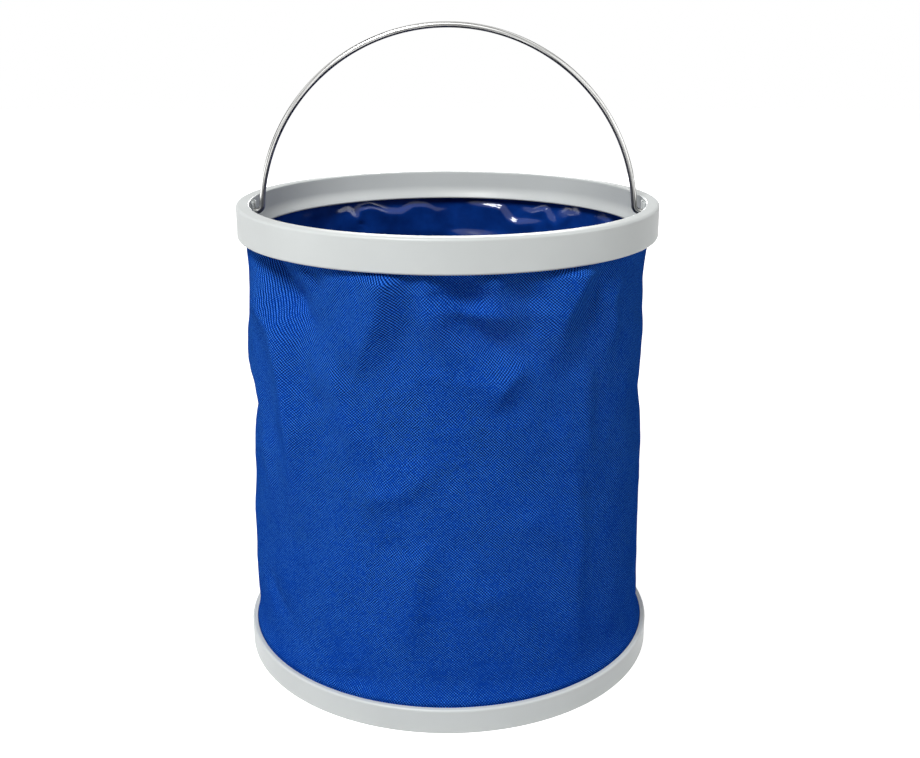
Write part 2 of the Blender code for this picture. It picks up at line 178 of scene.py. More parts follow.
# The wall's folds, as the photograph shows them. Each is a crease along a run of places, given by their turn
# and height in mm. Before the run stand its rise in mm, minus for a valley, and the widths in mm of the
# flanks to its right and to its left, for one who goes along the run and sees the cloth from outside. A run
# that starts above the cloth makes a fold that comes full out of the rim.
FOLDS = (
    (-12.5, 15, 18, (-66, 284), (-56, 262), (-49, 250), (-43, 243), (-38, 235), (-32, 226)),
    (9.0, 17, 16, (-72, 252), (-57, 237), (-50, 229), (-47.5, 216), (-45.5, 202), (-43, 170), (-44.5, 140),
     (-44, 100)),
    (-3.0, 5, 6, (-40, 276), (-35, 258), (-35.5, 244)),
    (11.0, 22, 12, (-13, 292), (-15, 262), (-15.5, 254), (-16.7, 244), (-19.5, 231), (-24, 213)),
    (4.0, 10, 9, (-31, 222), (-29, 207), (-27, 195), (-25, 183), (-21, 160)),
    (2.8, 13, 11, (-64, 200), (-61, 170), (-57, 124)),
    (2.0, 9, 9, (-59, 166), (-57, 137), (-55, 110)),
    (4.0, 8, 9, (-6, 284), (-4.3, 260), (-4, 246), (-1, 232), (2, 214)),
    (-2.0, 4, 5, (-3.5, 262), (-1.5, 252), (-1, 245)),
    (-2.0, 6, 8, (-20, 268), (-5, 266), (6, 265), (11, 268)),
    (-4.8, 7, 12, (-1, 263), (1, 258.5), (4, 255.5), (8, 255), (11, 259.5), (12, 266)),
    (5.6, 14, 7, (-6, 252), (1, 250), (5, 248.5), (10, 247.5), (14, 246), (22, 244)),
    (-8.5, 12, 15, (-1, 253), (7.5, 240), (12, 232), (16, 225), (23, 211)),
    (5.4, 12, 9, (22, 220), (16, 212), (14, 205), (12, 192)),
    (3.0, 6, 7, (12, 280), (12.5, 262), (15, 248)),
    (-1.8, 6, 9, (13, 262), (19, 257.5), (24, 256), (29, 260)),
    (8.5, 22, 14, (38, 290), (35.5, 263), (33, 253.5), (30.3, 243.5), (29.6, 236), (30.7, 229), (36, 215)),
    (-2.4, 10, 9, (21, 262), (21.5, 250), (22.3, 236), (22, 220)),
    (-1.4, 8, 12, (42, 264), (40.7, 248), (40, 235), (42, 219)),
    (3.4, 13, 8, (53, 264), (49, 245), (49.5, 233), (46, 212)),
    (2.6, 14, 9, (38, 222), (40.8, 200), (40, 184), (39.5, 162), (42, 138)),
    (2.2, 7, 7, (29, 184), (34, 162), (39, 134)),
    (3.6, 14, 9, (-5.5, 167), (-6, 160), (-7, 153), (-12, 146.5), (-18, 142), (-25, 132)),
    (-1.8, 7, 8, (-18, 113), (-10, 111), (-5, 115)),
    (3.8, 18, 10, (-6, 120), (-6.5, 102), (-7.7, 86), (-8.6, 71), (-9, 44)),
    (1.6, 9, 10, (2, 98), (8, 82), (14, 81), (19, 97)),
    (3.4, 18, 10, (35, 152), (38, 112), (37, 90), (37, 59), (40, 20)),
    (-2.2, 7, 10, (-66, 67), (-56, 53), (-44, 40)),
    (2.0, 6, 9, (-50, 22), (-41, 27), (-33, 28), (-24, 34)),
    (-1.6, 6, 8, (-27, 26), (-18, 21)),
    (1.6, 9, 8, (20, 132), (26, 122), (33, 104)),
    # From here on, those that give both sides their outlines
    (2.6, 15, 24, (-110, 206), (-95, 200), (-79, 196), (-68, 193), (-56, 190)),
    (-4.6, 24, 20, (-116, 177), (-98, 172), (-79, 168), (-68, 168), (-58, 173)),
    (1.8, 34, 30, (-77, 116), (-79, 84), (-79, 52), (-77, 8)),
    (-2.6, 30, 30, (79, 290), (81, 240), (81, 215), (81, 196), (80, 160)),
    (-1.4, 20, 20, (80, 216), (81, 200), (80, 176)),
    (-3.2, 24, 26, (60, 182), (72, 177), (81, 174), (98, 171), (116, 174)),
    (-1.0, 34, 30, (80, 160), (81, 110), (81, 60), (80, 20)),
)

# Turned, mirrored and lower copies of these folds make up the sides and the back, which the photograph
# hides. They set in past a turn to either side, and are full after a span.
COPY_MIDDLE_TURNS = (128, -126)
COPY_RISE_SHARE = 0.6
COPY_START_TURN = 80
COPY_SPAN_TURN = 25

# Creases in the back's head, which show through the mouth on the glossy side. Where they are, the copies are
# left out and the crumples are lower: past a turn to either side and past a share of the height.
MOUTH_START_TURN = 118
MOUTH_SPAN_TURN = 12
MOUTH_START_SHARE = 0.86
MOUTH_SPAN_SHARE = 0.05
MOUTH_CRUMPLE_LOSS = 0.75
MOUTH_CREASES = (
    (-2.1, 1.6, 8, (-139, 263), (-144, 266), (-147, 258.5), (-148.5, 265.5), (-152, 267), (-158, 261.5),
     (-163, 260.5), (-167.5, 265.5), (-171, 265), (-175, 261), (-180, 262)),
    (-2.1, 8, 1.6, (146, 257), (157, 254), (160, 256.5), (163, 264), (169, 265.5), (176, 267)),
    (-1.9, 6, 1.6, (143, 253), (147, 266), (151, 262.5), (156, 264)),
    (-2.1, 2, 7, (136, 248), (136.4, 264), (144, 252)),
)

# Light: each lamp's turn, its angle above the horizon, its distance and size in metres, and the level to
# which it lights a white face. The floor's tone keeps the shadow, and its glow makes it white to the eye.
LAMPS = {
    "key": (-26, 49, 2.6, 0.75, 0.92),
    "left_fill": (-80, 10, 1.8, 1.0, 0.18),
    "right_fill": (75, 25, 1.8, 1.0, 0.24),
    "back_fill": (180, 6, 2.2, 0.6, 0.40),
}
WORLD_LEVEL = 0.07
STUDIO_FLOOR_REACH = 4
STUDIO_FLOOR_TONE = "#C6C6C6"
STUDIO_FLOOR_GLOW = 0.95
WHITE = (1, 1, 1, 1)

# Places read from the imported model
rim_low, rim_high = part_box("rim_ring")
base_low, base_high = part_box("base_ring")
rim_hoop_low, rim_hoop_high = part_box("rim_clamp_hoop")
base_hoop_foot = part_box("base_clamp_hoop")[0].z
hem_low, hem_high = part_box("top_hem_band")
band_low, band_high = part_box("bottom_weld_band")
floor_low, floor_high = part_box("fabric_floor")

hem_inner = hem_high.x - 2 * CLOTH_THICKNESS
rim_leg_outer = hem_inner - FIT_GAP
mouth_radius = rim_leg_outer - RIM_WALL
pivot_height = rim_high.z - PIVOT_DROP
lug_face = mouth_radius - LUG_PROUD
band_inner = band_high.x - 2 * CLOTH_THICKNESS
base_leg_outer = band_inner - FIT_GAP
wall_foot = base_high.z + FIT_GAP
wall_head = hem_low.z - FIT_GAP
wall_height = wall_head - wall_foot
waist_radius = band_high.x - FOOT_FLARE
head_radius = hem_inner + CLOTH_THICKNESS


def corner_arc(before, corner, after, size, steps):
    """Points of an arc of radius size that rounds a corner, from the side of before to the side of after."""
    before, corner, after = Vector(before), Vector(corner), Vector(after)
    unit_in, unit_out = (before - corner).normalized(), (after - corner).normalized()
    half_angle = math.acos(unit_in.dot(unit_out)) / 2
    start = corner + unit_in * size / math.tan(half_angle)
    end = corner + unit_out * size / math.tan(half_angle)
    centre = corner + (unit_in + unit_out).normalized() * size / math.sin(half_angle)
    arm_in, arm_out = start - centre, end - centre
    sweep = arm_in.angle_signed(arm_out)
    points = []
    for step in range(steps + 1):
        turn = -sweep * step / steps
        spun = Vector((
            arm_in.x * math.cos(turn) - arm_in.y * math.sin(turn),
            arm_in.x * math.sin(turn) + arm_in.y * math.cos(turn),
        ))
        points.append(tuple(centre + spun))
    return points


def rounded_outline(corners):
    """Turn corners of (radius, height, round) into points, with an arc where the round isn't zero."""
    points = []
    for index, (radius, height, size) in enumerate(corners):
        before = corners[index - 1][:2]
        after = corners[(index + 1) % len(corners)][:2]
        if size:
            points.extend(corner_arc(before, (radius, height), after, size, ROUND_STEPS))
        else:
            points.append((radius, height))
    return points


def add_piece(name, mesh, *materials):
    piece = bpy.data.objects.new(name, mesh)
    bpy.context.scene.collection.objects.link(piece)
    for material in materials:
        mesh.materials.append(material)
    return piece


def made_mesh(piece):
    """Swap a piece's modifiers for the mesh that they make."""
    shown = piece.evaluated_get(bpy.context.evaluated_depsgraph_get())
    mesh = bpy.data.meshes.new_from_object(shown)
    piece.modifiers.clear()
    old = piece.data
    piece.data = mesh
    bpy.data.meshes.remove(old)
    mesh.name = piece.name
    return piece


def turned_piece(name, outline, *materials):
    """Turn an outline, which runs down its outer side, once round the Z axis."""
    mesh = bpy.data.meshes.new(name)
    edges = [(index, (index + 1) % len(outline)) for index in range(len(outline))]
    mesh.from_pydata([(radius, 0, height) for radius, height in outline], edges, [])
    piece = add_piece(name, mesh, *materials)
    screw = piece.modifiers.new("turn", "SCREW")
    screw.steps = screw.render_steps = MOULDING_STEPS
    screw.use_merge_vertices = True
    screw.merge_threshold = 0.01 * MM
    screw.use_smooth_shade = True
    return piece


def keep_flats(piece):
    """Shade a moulding's flats flat and only its rounds round."""
    piece.data.set_sharp_from_angle(angle=math.radians(MOULDING_SHARP_ANGLE))
    weighted = piece.modifiers.new("flats", "WEIGHTED_NORMAL")
    weighted.keep_sharp = True
    return piece


def bore_cutter(name):
    """A cutter along X through the pivots, that stops short of the rim's outer wall."""
    mesh = bpy.data.meshes.new(name)
    shape = bmesh.new()
    reach = 2 * rim_hoop_high.x
    bmesh.ops.create_cone(
        shape, cap_ends=True, segments=BORE_SIDES, radius1=BORE_RADIUS, radius2=BORE_RADIUS, depth=reach,
    )
    shape.to_mesh(mesh)
    shape.free()
    cutter = add_piece(name, mesh)
    cutter.rotation_euler = (0, math.pi / 2, 0)
    cutter.location = (0, 0, pivot_height)
    return cutter


def side_blocks(name, depth, width, low, high, rounding):
    """A block on each side of the mouth, from the lugs' faces outward, with its edges rounded."""
    mesh = bpy.data.meshes.new(name)
    shape = bmesh.new()
    for side in (-1, 1):
        block = bmesh.ops.create_cube(shape, size=1)["verts"]
        bmesh.ops.scale(shape, vec=(depth, width, high - low), verts=block)
        middle = (side * (lug_face + depth / 2), 0, (high + low) / 2)
        bmesh.ops.translate(shape, vec=middle, verts=block)
    bmesh.ops.bevel(
        shape, geom=shape.edges, offset=rounding, segments=BLOCK_ROUND_STEPS, affect="EDGES",
    )
    shape.to_mesh(mesh)
    shape.free()
    return add_piece(name, mesh)


def rim_moulding(plastic):
    """The rim's shell: a channel that opens downward, with a lip flared into the mouth and two bail lugs."""
    ceiling = rim_high.z - RIM_WALL
    leg_foot = hem_low.z
    piece = turned_piece("rim_moulding", rounded_outline([
        (rim_high.x, rim_high.z, RIM_TOP_ROUND),
        (rim_high.x, rim_low.z, RIM_FOOT_ROUND),
        (rim_high.x - RIM_WALL, rim_low.z, 0),
        (rim_high.x - RIM_WALL, ceiling, 0),
        (rim_leg_outer, ceiling, 0),
        (rim_leg_outer, leg_foot, 0),
        (mouth_radius - LIP_REACH, leg_foot, LIP_ROUND),
        (mouth_radius, leg_foot + LIP_HEIGHT, LIP_BEND),
        (mouth_radius, rim_high.z, MOUTH_ROUND),
    ]), plastic)
    lugs = side_blocks(
        "lug_blocks", LUG_PROUD + RIM_WALL / 2, LUG_WIDTH,
        pivot_height - LUG_HEIGHT / 2, pivot_height + LUG_HEIGHT / 2, LUG_ROUND,
    )
    slots = side_blocks(
        "slot_cutter", 2 * SLOT_DEPTH, SLOT_WIDTH, pivot_height, pivot_height + SLOT_RISE, SLOT_ROUND,
    )
    for vertex in slots.data.vertices:
        vertex.co.x -= math.copysign(SLOT_DEPTH, vertex.co.x)
    bore = bore_cutter("bore_cutter")
    tools = ((lugs, "UNION"), (slots, "DIFFERENCE"), (bore, "DIFFERENCE"))
    for tool, operation in tools:
        boolean = piece.modifiers.new(tool.name, "BOOLEAN")
        boolean.object = tool
        boolean.operation = operation
    made_mesh(piece)
    for tool in (lugs, slots, bore):
        bpy.data.objects.remove(tool)
    piece.data.shade_smooth()
    return keep_flats(piece)


def base_moulding(plastic):
    """The base's shell: outer wall, web on the ground and low inner leg under the floor cloth."""
    inner = base_leg_outer - BASE_WALL
    piece = turned_piece("base_moulding", rounded_outline([
        (base_high.x, base_high.z, BASE_TOP_ROUND),
        (base_high.x, base_low.z, BASE_FOOT_ROUND),
        (inner, base_low.z, 0),
        (inner, BASE_LEG_HEIGHT, 0),
        (base_leg_outer, BASE_LEG_HEIGHT, 0),
        (base_leg_outer, BASE_WALL, 0),
        (base_high.x - BASE_WALL, BASE_WALL, 0),
        (base_high.x - BASE_WALL, base_high.z, 0),
    ]), plastic)
    return keep_flats(made_mesh(piece))


def clamp_hoop(name, outer, inner, foot, head, plastic):
    """A hoop that holds the cloth in a ring, with its edges rounded where they meet the cloth."""
    piece = turned_piece(name, rounded_outline([
        (outer, head, 0), (outer, foot, 0), (inner, foot, HOOP_ROUND), (inner, head, HOOP_ROUND),
    ]), plastic)
    return keep_flats(made_mesh(piece))


def bell(distance, width):
    return np.exp(-((distance / width) ** 2))


def crest(distance, width):
    """A fold's profile: one on its crest, with a tight round there, even flanks and a soft foot."""
    reach = np.sqrt(distance**2 + CREST_ROUND**2) - CREST_ROUND
    return np.logaddexp(0, FLANK_EVENNESS * (1 - reach / width)) / FLANK_EVENNESS


def ramp_up(value, start, span):
    """Nothing up to the start, then rising evenly to one over the span."""
    return np.clip((value - start) / span, 0, 1)


def away_from_run(around, up, places):
    """How far each place on the wall is from a run, on which side, and how far along it, from 0 to 1."""
    girth = 2 * math.pi * head_radius
    lengths = [math.dist(start, end) for start, end in zip(places, places[1:])]
    nearest = np.full_like(around, np.inf)
    side = np.ones_like(around)
    course = np.zeros_like(around)
    passed = 0
    for start, end, length in zip(places, places[1:], lengths):
        off_around = (around - start[0] + girth / 2) % girth - girth / 2
        off_up = up - start[1]
        ahead = ((end[0] - start[0]) / length, (end[1] - start[1]) / length)
        along = np.clip(off_around * ahead[0] + off_up * ahead[1], 0, length)
        distance = np.hypot(off_around - along * ahead[0], off_up - along * ahead[1])
        closer = distance < nearest
        nearest = np.where(closer, distance, nearest)
        side = np.where(closer, np.sign(ahead[0] * off_up - ahead[1] * off_around), side)
        course = np.where(closer, (passed + along) / sum(lengths), course)
        passed += length
    return nearest, side, course


def fold_rise(turn, share, folds, middle=0, mirror=1):
    """How far the folds, set round a middle turn, push the wall out. Each one dies away towards its ends."""
    around, up = np.radians(turn) * head_radius, share * wall_height
    rise = np.zeros_like(share)
    for height, right, left, *run in folds:
        places = [
            (math.radians(middle + mirror * run_turn) * head_radius, run_height * MM - wall_foot)
            for run_turn, run_height in run
        ]
        distance, side, course = away_from_run(around, up, places)
        width = np.where(side * mirror > 0, left, right) * MM
        fade = ramp_up(course, 0, RUN_RISE_PART) * ramp_up(1 - course, 0, RUN_FADE_PART)
        rise += height * MM * crest(distance, width) * fade
    return rise


def crumple(turn, share):
    """Low uneven crumples: ridged noise that grows towards the rim, where the cloth has been folded most."""
    coarse, fine = np.empty_like(turn), np.empty_like(turn)
    for index in np.ndindex(turn.shape):
        angle = math.radians(turn[index])
        place = Vector((
            head_radius * math.sin(angle), -head_radius * math.cos(angle), share[index] * wall_height,
        ))
        bend = noise.noise_vector(place / BEND_SIZE) * BEND_REACH
        coarse[index] = 1 - 2 * abs(noise.noise(place / COARSE_SIZE + bend))
        fine[index] = 1 - 2 * abs(noise.noise(place / FINE_SIZE + bend + FINE_SHIFT))
    rimward = ramp_up(share, GAIN_START_SHARE, GAIN_SPAN_SHARE)
    coarse_rise = (coarse - RIDGE_MIDDLE) * (COARSE_RISE + COARSE_GAIN * rimward)
    fine_rise = (fine - RIDGE_MIDDLE) * (FINE_RISE + FINE_GAIN * rimward)
    return coarse_rise + fine_rise


def wall_radius(turn, share):
    """The wall's outer radius at a turn, -180 to 180, and a share of its height."""
    straight = waist_radius + (head_radius - waist_radius) * share
    flare = FOOT_FLARE * np.clip(1 - share / FLARE_END_SHARE, 0, 1) ** FLARE_POWER
    neck = NECK * bell(share - NECK_SHARE, NECK_SPREAD_SHARE)
    past_sides = ramp_up(np.abs(turn), COPY_START_TURN, COPY_SPAN_TURN)
    behind_mouth = ramp_up(np.abs(turn), MOUTH_START_TURN, MOUTH_SPAN_TURN)
    behind_mouth *= ramp_up(share, MOUTH_START_SHARE, MOUTH_SPAN_SHARE)
    copies = sum(fold_rise(turn, share, FOLDS, middle, -1) for middle in COPY_MIDDLE_TURNS)
    copies *= COPY_RISE_SHARE * past_sides * (1 - behind_mouth)
    folds = fold_rise(turn, share, FOLDS) + copies + fold_rise(turn, share, MOUTH_CREASES)
    crumples = (1 - MOUTH_CRUMPLE_LOSS * behind_mouth) * crumple(turn, share)
    free = ramp_up(share, 0, FOLD_END_SHARE) * ramp_up(1 - share, 0, FOLD_END_SHARE)
    return straight + flare - neck + free * (folds + crumples)


def cloth_shell(name, turns, stand_off, closed, *materials):
    """A cloth shell over the given turns, standing off the wall's face, with a UV map in metres of cloth."""
    shares = 1 - (1 - np.arange(WALL_ROWS + 1) / WALL_ROWS) ** ROW_SPREAD
    share, turn = np.meshgrid(shares, turns, indexing="ij")
    radius = wall_radius(turn, share) + stand_off
    points = np.stack([
        radius * np.sin(np.radians(turn)),
        -radius * np.cos(np.radians(turn)),
        wall_foot + share * wall_height,
    ], axis=-1).reshape(-1, 3)
    count = len(turns)
    strips = count if closed else count - 1
    rows, columns = np.meshgrid(np.arange(WALL_ROWS), np.arange(strips), indexing="ij")
    rows = np.stack([rows, rows, rows + 1, rows + 1], axis=-1).reshape(-1, 4)
    columns = np.stack([columns, columns + 1, columns + 1, columns], axis=-1).reshape(-1, 4)
    mesh = bpy.data.meshes.new(name)
    mesh.from_pydata(points.tolist(), [], (rows * count + columns % count).tolist())
    step = turns[1] - turns[0]
    lengths_around = np.radians(turns[0] + step * columns) * head_radius
    runs = np.stack([lengths_around, shares[rows] * wall_height], axis=-1)
    mesh.uv_layers.new(name="cloth_runs").data.foreach_set("uv", runs.ravel())
    mesh.shade_smooth()
    piece = add_piece(name, mesh, *materials)
    shell = piece.modifiers.new("thickness", "SOLIDIFY")
    shell.thickness = CLOTH_THICKNESS
    shell.offset = -1
    shell.use_even_offset = True
    shell.material_offset = len(materials) - 1
    return made_mesh(piece)


def collapse_with_rim(piece):
    """Carry cloth that spans the rings on the base's body, with a mesh of its own."""
    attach(piece, "base")
    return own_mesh(piece)


def cloth_band(name, inner, outer, foot, head, cloth):
    """A clamped edge of doubled cloth, turned once round, with a rounded fold at its free end."""
    size = (outer - inner) * BAND_ROUND_SHARE
    piece = made_mesh(turned_piece(name, rounded_outline([
        (outer, head, size), (outer, foot, 0), (inner, foot, 0), (inner, head, size),
    ]), cloth))
    mesh = piece.data
    runs = mesh.uv_layers.new(name="cloth_runs")
    for face in mesh.polygons:
        middle = math.atan2(face.center.x, -face.center.y)
        for index in face.loop_indices:
            place = mesh.vertices[mesh.loops[index].vertex_index].co
            off_middle = (math.atan2(place.x, -place.y) - middle + math.pi) % (2 * math.pi) - math.pi
            length_down = place.z - math.hypot(place.x, place.y)
            runs.data[index].uv = ((middle + off_middle) * outer, length_down)
    return piece


def floor_sheet(cloth, liner):
    """The floor cloth: laid on the base's inner leg, a little slack in its middle."""
    mesh = bpy.data.meshes.new("floor_cloth")
    shape = bmesh.new()
    edge = floor_high.x
    runs = shape.loops.layers.uv.new("cloth_runs")
    rows = []
    for ring in range(1, FLOOR_RINGS + 1):
        radius = edge * ring / FLOOR_RINGS
        slack = FLOOR_SLACK * (1 - (radius / edge) ** FLOOR_HOLD_POWER)
        row = []
        for spoke in range(FLOOR_SPOKES):
            turn = 2 * math.pi * spoke / FLOOR_SPOKES
            place = Vector((radius * math.sin(turn), -radius * math.cos(turn), 0))
            pucker = 1 - 2 * abs(noise.noise(place / PUCKER_SIZE))
            ripple = RIPPLE_SHARE * noise.noise(place / RIPPLE_SIZE)
            place.z = floor_high.z + slack * (pucker + ripple)
            row.append(shape.verts.new(place))
        rows.append(row)
    middle = shape.verts.new((0, 0, floor_high.z + FLOOR_MIDDLE_RISE))
    for spoke in range(FLOOR_SPOKES):
        following = (spoke + 1) % FLOOR_SPOKES
        shape.faces.new((middle, rows[0][spoke], rows[0][following]))
        for inner, outer in zip(rows, rows[1:]):
            shape.faces.new((inner[spoke], outer[spoke], outer[following], inner[following]))
    for face in shape.faces:
        face.smooth = True
        for loop in face.loops:
            loop[runs].uv = loop.vert.co.xy
    shape.to_mesh(mesh)
    shape.free()
    if mesh.polygons[0].normal.z < 0:
        mesh.flip_normals()
    piece = add_piece("floor_cloth", mesh, liner, cloth)
    shell = piece.modifiers.new("thickness", "SOLIDIFY")
    shell.thickness = floor_high.z - floor_low.z
    shell.offset = -1
    shell.material_offset = 1
    return made_mesh(piece)


def bail_route():
    """The wire's centreline from foot to foot: a foot, a bend, one wide arc."""
    half_span = lug_face - BAIL_LEG_GAP - WIRE_RADIUS
    rise = cad_high.z - WIRE_RADIUS - pivot_height
    arc_height = rise - BAIL_ARC_START
    arc_radius = (half_span**2 + arc_height**2) / (2 * arc_height)
    arc_centre = rise - arc_radius
    half_sweep = math.atan2(half_span, BAIL_ARC_START - arc_centre)
    arc = []
    for step in range(BAIL_ARC_STEPS + 1):
        angle = half_sweep * (2 * step / BAIL_ARC_STEPS - 1)
        arc.append((arc_radius * math.sin(angle), arc_centre + arc_radius * math.cos(angle)))
    knee = half_span + BAIL_ARC_START / math.tan(half_sweep)
    foot_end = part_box("wire_bail")[1].x
    bend = corner_arc((foot_end, 0), (knee, 0), arc[-1], BAIL_BEND_RADIUS, BAIL_BEND_STEPS)
    route = [(-foot_end, 0), *[(-x, z) for x, z in bend], *arc, *reversed(bend), (foot_end, 0)]
    return [Vector((x, 0, pivot_height + z)) for x, z in route]


def bent_wire(name, route, radius, steel):
    """A round wire along a route in the XZ plane, with its length and girth as a UV map in metres."""
    mesh = bpy.data.meshes.new(name)
    shape = bmesh.new()
    runs = shape.loops.layers.uv.new("wire_runs")
    rings = []
    lengths = [0.0]
    for index, point in enumerate(route):
        if index:
            lengths.append(lengths[-1] + (point - route[index - 1]).length)
        ahead = route[min(index + 1, len(route) - 1)] - route[max(index - 1, 0)]
        ahead.normalize()
        outward = Vector((-ahead.z, 0, ahead.x))
        ring = []
        for side in range(WIRE_SIDES):
            turn = 2 * math.pi * side / WIRE_SIDES
            offset = outward * math.cos(turn) + Vector((0, 1, 0)) * math.sin(turn)
            ring.append(shape.verts.new(point + offset * radius))
        rings.append(ring)
    side_width = 2 * math.pi * radius / WIRE_SIDES
    for index, (ring, onward) in enumerate(zip(rings, rings[1:])):
        for side in range(WIRE_SIDES):
            following = (side + 1) % WIRE_SIDES
            face = shape.faces.new((ring[side], onward[side], onward[following], ring[following]))
            places = ((index, side), (index + 1, side), (index + 1, side + 1), (index, side + 1))
            for loop, (along, about) in zip(face.loops, places):
                loop[runs].uv = (lengths[along], about * side_width)
    for ring in (rings[0], rings[-1]):
        shape.faces.new(ring)
    bmesh.ops.recalc_face_normals(shape, faces=shape.faces)
    shape.to_mesh(mesh)
    shape.free()
    mesh.shade_smooth()
    mesh.set_sharp_from_angle(angle=math.radians(WIRE_SHARP_ANGLE))
    return add_piece(name, mesh, steel)


def linear(code):
    """An sRGB hex colour as linear red, green, blue and alpha."""
    values = [int(code[place:place + 2], 16) / 255 for place in (1, 3, 5)]
    return (*[v / 12.92 if v <= 0.04045 else ((v + 0.055) / 1.055) ** 2.4 for v in values], 1.0)


def add_node(tree, kind, inputs, **settings):
    """Add a node with its settings, and set or link its inputs."""
    node = tree.nodes.new(kind)
    for name, value in settings.items():
        setattr(node, name, value)
    for socket, value in inputs.items():
        if isinstance(value, bpy.types.NodeSocket):
            tree.links.new(value, node.inputs[socket])
        else:
            node.inputs[socket].default_value = value
    return node


def new_material(name, **values):
    """A material with its Principled shader set to the given values. Returns it with its tree and shader."""
    material = bpy.data.materials.new(name)
    material.use_nodes = True
    tree = material.node_tree
    shader = tree.nodes["Principled BSDF"]
    for socket, value in values.items():
        shader.inputs[socket.replace("_", " ")].default_value = value
    return material, tree, shader


def colour_ramp(tree, amount, *stops):
    """A colour ramp over amount, with stops of (place, hex colour). Returns its colour output."""
    ramp = add_node(tree, "ShaderNodeValToRGB", {"Fac": amount})
    elements = ramp.color_ramp.elements
    for place, code in stops[1:-1]:
        elements.new(place)
    for element, (place, code) in zip(elements, sorted(stops)):
        element.position = place
        element.color = linear(code)
    return ramp.outputs["Color"]


def noise_of(tree, place, size, detail):
    """A noise texture whose lumps are about the given size. Returns its node."""
    return add_node(tree, "ShaderNodeTexNoise", {"Vector": place, "Scale": 1 / size, "Detail": detail})


def spread(tree, amount, low, high, start=0.0, end=1.0):
    """Take an amount from start to end over to values from low to high. Returns the output."""
    return add_node(tree, "ShaderNodeMapRange", {
        "Value": amount, "From Min": start, "From Max": end, "To Min": low, "To Max": high,
    }).outputs["Result"]


def worked_out(tree, operation, *values):
    """Work out one step of arithmetic from numbers or outputs. Returns the output."""
    return add_node(tree, "ShaderNodeMath", dict(enumerate(values)), operation=operation).outputs[0]


def bumped(tree, height, strength, depth, **below):
    """Turn a height into a bump, over another one's Normal if that is given. Returns the normal."""
    inputs = {"Height": height, "Strength": strength, "Distance": depth, **below}
    return add_node(tree, "ShaderNodeBump", inputs).outputs["Normal"]


# Moulded polypropylene: a waxy satin skin, almost even in colour, with a fine spark-eroded grain
SKIN_GRAIN = 0.35 * MM


def moulded_polypropylene(name, dull, clean):
    material, tree, shader = new_material(name, IOR=1.49)
    place = add_node(tree, "ShaderNodeTexCoord", {}).outputs["Object"]
    mottle = noise_of(tree, place, 60 * MM, 5.0)
    tone = colour_ramp(tree, mottle.outputs["Fac"], (0.3, dull), (0.7, clean))
    tree.links.new(tone, shader.inputs["Base Color"])
    scuffs = noise_of(tree, place, 9 * MM, 6.0)
    tree.links.new(spread(tree, scuffs.outputs["Fac"], 0.34, 0.5), shader.inputs["Roughness"])
    grain = noise_of(tree, place, SKIN_GRAIN, 2.0)
    tree.links.new(bumped(tree, grain.outputs["Fac"], 0.2, 0.03 * MM), shader.inputs["Normal"])
    return material


# Polyester oxford, plain weave: a matt royal blue, whose raised threads are drawn as rows of pale dots, a
# painted highlight of the light they catch.
# The thread pitch is drawn at 0.82 mm, a little coarser than the yarn, so that the dots show.
THREAD_PITCH = 0.82 * MM
THREAD_WAVER = 0.9 * MM
SLUB_LENGTH = 1.6 * MM


